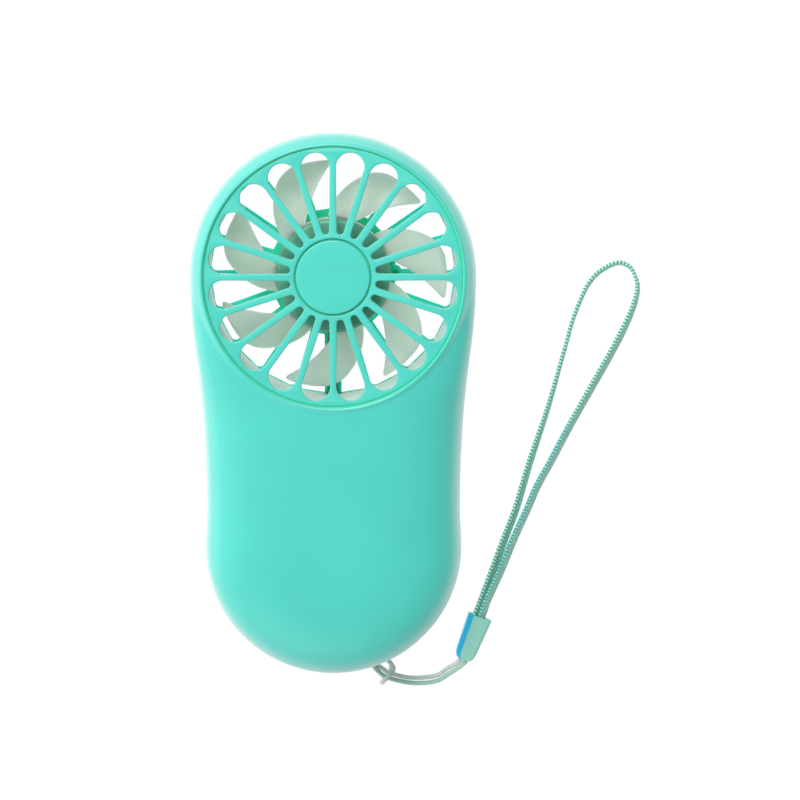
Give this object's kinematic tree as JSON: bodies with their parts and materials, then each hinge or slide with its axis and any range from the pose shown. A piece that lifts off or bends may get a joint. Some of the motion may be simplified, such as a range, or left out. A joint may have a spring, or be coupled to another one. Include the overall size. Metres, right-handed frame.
{
  "type": "handheld electric fan",
  "caption": "Pocket handheld fan with a round grilled head, a flat rounded handle and a wrist strap hitched to its foot.",
  "frame": {"origin": "bottom centre of the fan's box (without the strap), on the plane its back rests on", "axes": "+X right seen from the front, +Y from foot to head, +Z out of the front grille"},
  "size_m": [0.101, 0.1261, 0.028],
  "materials": {
    "shell_mint": "satin",
    "grille_mint": "satin",
    "rear_grille_mint": "satin",
    "blade_green": "satin",
    "steel": "satin",
    "magnet": "matte",
    "core": "satin",
    "copper": "gloss",
    "nylon": "satin",
    "brass": "satin",
    "board": "satin",
    "chip": "matte",
    "cell": "satin",
    "tape": "matte",
    "wire": "satin",
    "clear": "gloss",
    "cord": "satin",
    "webbing": "matte",
    "ferrule": "satin"
  },
  "bodies": {
    "housing": {"front_shell": "shell_mint", "rear_shell": "shell_mint", "front_grille": "grille_mint", "grille_badge": "grille_mint", "rear_grille": "rear_grille_mint", "bearing_bush": "brass", "stator_core": "core", "stator_bobbin": "nylon", "coil_windings": "copper", "motor_board": "board", "hall_driver": "chip", "motor_wires": "wire", "battery_cell": "cell", "battery_board": "board", "battery_tape": "tape", "battery_wires": "wire", "main_board": "board", "charge_chip": "chip", "boost_coil": "magnet", "board_capacitors": "tape", "usb_socket": "steel", "tact_switch": "chip", "indicator_led": "clear", "light_pipe": "clear", "shell_screws": "steel", "board_screws": "steel", "lanyard_pin": "steel", "strap_cord": "cord", "strap_ferrule": "ferrule", "wrist_strap": "webbing"},
    "rotor": {"impeller": "blade_green", "rotor_yoke": "steel", "magnet_ring": "magnet", "rotor_shaft": "steel", "shaft_clip": "nylon"},
    "button": {"power_button": "shell_mint"}
  },
  "joints": [
    {"name": "fan_spin", "type": "hinge", "parent": "housing", "child": "rotor", "pos_m": [0, 0.0286, 0.012], "axis": [0, 0, 1], "continuous": true},
    {"name": "button_press", "type": "slide", "parent": "housing", "child": "button", "axis": [0, 0, 1], "range_m": [0, 0.0005], "stiffness_N_per_m": 800}
  ]
}
